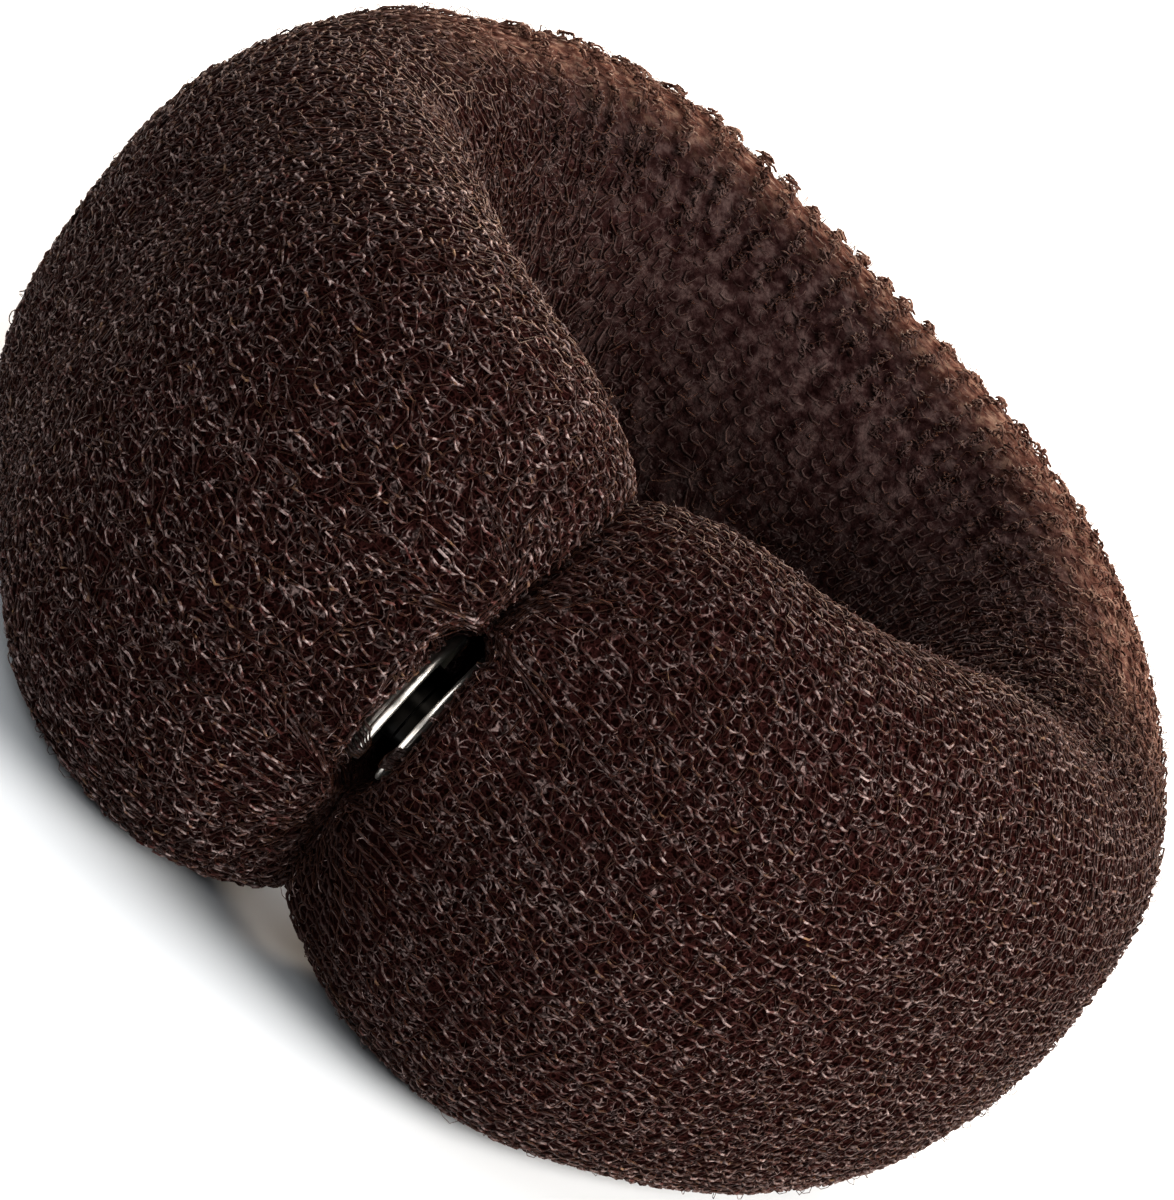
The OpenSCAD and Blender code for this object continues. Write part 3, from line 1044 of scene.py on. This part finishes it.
def pile_group():
    """Matted pile: mottled dark brown, with painted shade that darkens it lower in the hole, and a
    lighter brown of painted backlight where that share is given.
    """
    group, start, end = new_group(
        "matted_pile", [("Vector", "NodeSocketVector", None), ("Backlight", "NodeSocketFloat", 0.0)],
        [("Color", "NodeSocketColor")],
    )
    where = start.outputs["Vector"]
    dark = ramp(group, noise_node(group, where, 620.0, 4.0, 0.68).outputs[0], DARK_PILE)
    backlit = ramp(group, noise_node(group, where, 900.0, 4.0, 0.6).outputs[0], BACKLIT_PILE)
    place = node(group, "ShaderNodeSeparateXYZ", None, {0: where})
    # Painted shade: the pile is darker lower in the hole
    height = map_range(group, place.outputs["Z"], LOW_SHADE_FROM, LOW_SHADE_TO, 0.5, 1.0)
    low_shaded = mix_colours(group, height, PILE_LOW_SHADE, dark)
    colour = mix_colours(group, start.outputs["Backlight"], low_shaded, backlit)
    group.links.new(colour, end.inputs["Color"])
    return group


def start_material(name, values):
    material = bpy.data.materials.new(name)
    material.use_nodes = True
    tree = material.node_tree
    shader = tree.nodes["Principled BSDF"]
    for key, value in values.items():
        shader.inputs[key].default_value = value
    return material, tree, shader


def object_place(tree):
    return tree.nodes.new("ShaderNodeTexCoord").outputs["Object"]


def bump(tree, shader, height, strength, distance):
    made = node(tree, "ShaderNodeBump", None, {
        "Height": height, "Strength": strength, "Distance": distance
    })
    tree.links.new(made.outputs[0], shader.inputs["Normal"])


def matted(tree, pile, where, colour):
    """The colour, turned to matted pile where the piece is soft or carries painted backlight."""
    backlight_glow = share_of(tree, "backlight_glow")
    made = node(tree, "ShaderNodeGroup", {"node_tree": pile}, {"Vector": where, "Backlight": backlight_glow})
    share = math_node(tree, "MAXIMUM", share_of(tree, "soft"), backlight_glow)
    return mix_colours(tree, share, colour, made.outputs[0])


def pad_material(strands, pile):
    """The deeper layers of the net: near-black, with dim red-brown strands."""
    material, tree, shader = start_material(
        "net_layers_below", {"Roughness": 0.9, "Specular IOR Level": 0.0}
    )
    where = object_place(tree)
    fine, deep = (
        node(tree, "ShaderNodeGroup", {"node_tree": strands},
             {"Vector": where, "Scale": scale, "Width": width})
        for scale, width in ((1150.0, 0.09), (1900.0, 0.16))
    )
    tint = ramp(tree, fine.outputs["Tone"], STRANDS_BELOW)
    broken = noise_node(tree, where, 2600.0, 1.0)
    short = map_range(tree, broken.outputs[0], 0.45, 0.55, 0.15, 1.0)
    shown = math_node(tree, "MULTIPLY", fine.outputs["Mask"], short)
    top = mix_colours(tree, shown, DARK_RED, tint)
    low = ramp(tree, deep.outputs["Mask"], ((0.0, DARK_RED[:3]), (1.0, DEEPEST_STRANDS)))
    layers = mix_colours(tree, 1.0, top, low, "LIGHTEN")
    # Painted shade darkens the layers beside the lower crease
    shaded = mix_colours(tree, share_of(tree, "light"), PAINTED_CREASE_SHADE, layers)
    tree.links.new(matted(tree, pile, where, shaded), shader.inputs["Base Color"])
    bump(tree, shader, noise_node(tree, where, 700.0, 4.0, 0.6).outputs[0], 1.0, 0.0006)
    return material


def yarn_material(name, tone_and_shade, pile=None, leg_shade=SHADED_YARN_LEGS):
    """Yarn of uneven tone, with painted highlights on the curves of the loops and painted shade on
    their legs, where a share tells these.
    """
    material, tree, shader = start_material(
        name,
        {"Roughness": 0.5, "Specular IOR Level": 0.08, "Specular Tint": (1, 0.75, 0.65, 1),
         "Sheen Weight": 0.06, "Sheen Roughness": 0.3, "Sheen Tint": (0.9, 0.34, 0.17, 1)},
    )
    where = object_place(tree)
    # The yarn's tones are scaled down for a darker thread, or as painted shade on the inside and
    # lower nets
    tones = [(place, tuple(tone_and_shade * c for c in colour)) for place, colour in YARN_TONES]
    colour = ramp(tree, noise_node(tree, where, 800.0, 3.0, 0.6).outputs[0], tones)
    # Twisted fibres break each thread's light into short pieces
    pieces = ramp(tree, noise_node(tree, where, 1800.0, 2.0).outputs[0], YARN_PIECES)
    colour = mix_colours(tree, 1.0, colour, pieces, "MULTIPLY")
    if pile:
        # Painted light: the lit yarn on the loops' curves, painted shade on their legs
        colour = mix_colours(tree, share_of(tree, "crest_light"), leg_shade, colour)
        colour = matted(tree, pile, where, colour)
    tree.links.new(colour, shader.inputs["Base Color"])
    bump(tree, shader, noise_node(tree, where, 9000.0, 2.0).outputs[0], 0.5, 0.00005)
    return material


def metal_material():
    """Bright nickel, painted near-black as shade in the hollow between the two halves."""
    material, tree, shader = start_material("bright_nickel", {"Metallic": 1.0})
    where = object_place(tree)
    middle, disc = stud_frame()[:2]
    worn = noise_node(tree, where, 900.0, 4.0, 0.6).outputs[0]
    centred = node(tree, "ShaderNodeMapping", None, {
        "Vector": where, "Location": (0, -middle.y * MM, -middle.z * MM), "Scale": (0, 1, 1)
    })
    length = node(
        tree, "ShaderNodeVectorMath", {"operation": "LENGTH"}, {0: centred.outputs[0]}
    ).outputs["Value"]
    # Painted shade: the nickel goes near-black inside the rims, in the hollow between the halves
    outside = map_range(tree, length, (disc - 1.3) * MM, (disc - 0.5) * MM)
    colour = mix_colours(tree, outside, NICKEL_HOLLOW_SHADE, NICKEL)
    tree.links.new(colour, shader.inputs["Base Color"])
    tree.links.new(map_range(tree, worn, 0.0, 1.0, 0.22, 0.42), shader.inputs["Roughness"])
    bump(tree, shader, worn, 0.25, 0.00004)
    return material


def paint(pieces, material):
    for piece in pieces:
        piece.data.materials.clear()
        piece.data.materials.append(material)


# Plain pale floor and soft studio light

FLOOR_HALF = 2.5
FLOOR_GREY = (0.56, 0.59, 0.62, 1)
WORLD_LIGHT = 0.14
# Name, place, aim, size, power and colour of each lamp
LAMPS = (
    ("key", (0.55, -0.22, 0.40), (0, 0, 0.02), 0.45, 12.0, (1, 0.95, 0.90)),
    ("fill", (-0.42, -0.30, 0.66), (0, 0, 0.02), 0.80, 4.0, (1, 1, 1)),
    ("front", (0.04, -0.70, 0.52), (0, 0, 0.02), 0.25, 1.2, (1, 1, 1)),
    ("top", (0.05, 0.15, 0.85), (0, 0, 0.02), 0.80, 6.0, (1, 0.96, 0.93)),
    ("back", (-0.10, 0.55, 0.40), (0, 0, 0.03), 0.40, 8.0, (1, 0.78, 0.60)),
    ("side", (0.60, 0.22, 0.16), (0.03, 0, 0.02), 0.30, 3.0, (1, 0.80, 0.62)),
)


def add_floor():
    bm = bmesh.new()
    bmesh.ops.create_grid(bm, x_segments=1, y_segments=1, size=FLOOR_HALF)
    mesh = bpy.data.meshes.new("floor")
    bm.to_mesh(mesh)
    bm.free()
    floor = bpy.data.objects.new("floor", mesh)
    bpy.context.scene.collection.objects.link(floor)
    paint([floor], start_material("pale_floor", {"Base Color": FLOOR_GREY, "Roughness": 0.9})[0])


def add_light(name, place, aim, size, power, colour):
    data = bpy.data.lights.new(name, "AREA")
    data.shape = "DISK"
    data.size = size
    data.energy = power
    data.color = colour
    light = bpy.data.objects.new(name, data)
    bpy.context.scene.collection.objects.link(light)
    light.location = place
    light.rotation_mode = "QUATERNION"
    light.rotation_quaternion = (Vector(aim) - Vector(place)).to_track_quat("-Z", "Y")


def add_lights():
    bpy.context.scene.view_settings.view_transform = "Standard"
    world = bpy.data.worlds.new("studio")
    bpy.context.scene.world = world
    world.use_nodes = True
    background = world.node_tree.nodes["Background"]
    background.inputs["Color"].default_value = (1, 1, 1, 1)
    background.inputs["Strength"].default_value = WORLD_LIGHT
    for lamp in LAMPS:
        add_light(*lamp)


add_camera()
pad = add_pad()
surface = Surface(pad)
sew_pad(pad)
outer_net, inner_net = add_net(surface)
net_below = add_under_net(surface)
far_ribs = add_far_ribs(surface)
frizz = [add_fibres(surface), add_loose_loops(surface)]
sewing = [
    add_sewing("sewing_thread_left", -1, LEFT_BUNDLES),
    add_sewing("sewing_thread_right", 1, RIGHT_BUNDLES),
]
pile = pile_group()
paint([pad], pad_material(strand_group(), pile))
paint(outer_net + [far_ribs], yarn_material("brown_yarn", 1.0, pile))
# Painted shade: a darker copy of the same yarn for the inside of the ring
paint(inner_net, yarn_material("brown_yarn_inside_shaded", 0.60, pile, SHADED_INSIDE_LEGS))
# Painted shade: a darker copy of the same yarn for the net under the outer one
paint([net_below], yarn_material("brown_yarn_below_shaded", 0.85, pile))
paint(frizz, yarn_material("brown_frizz", 0.55, pile))
paint(sewing, yarn_material("dark_sewing_thread", 0.12))
paint([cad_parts["snap_socket"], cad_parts["snap_stud"]], metal_material())
add_floor()
add_lights()
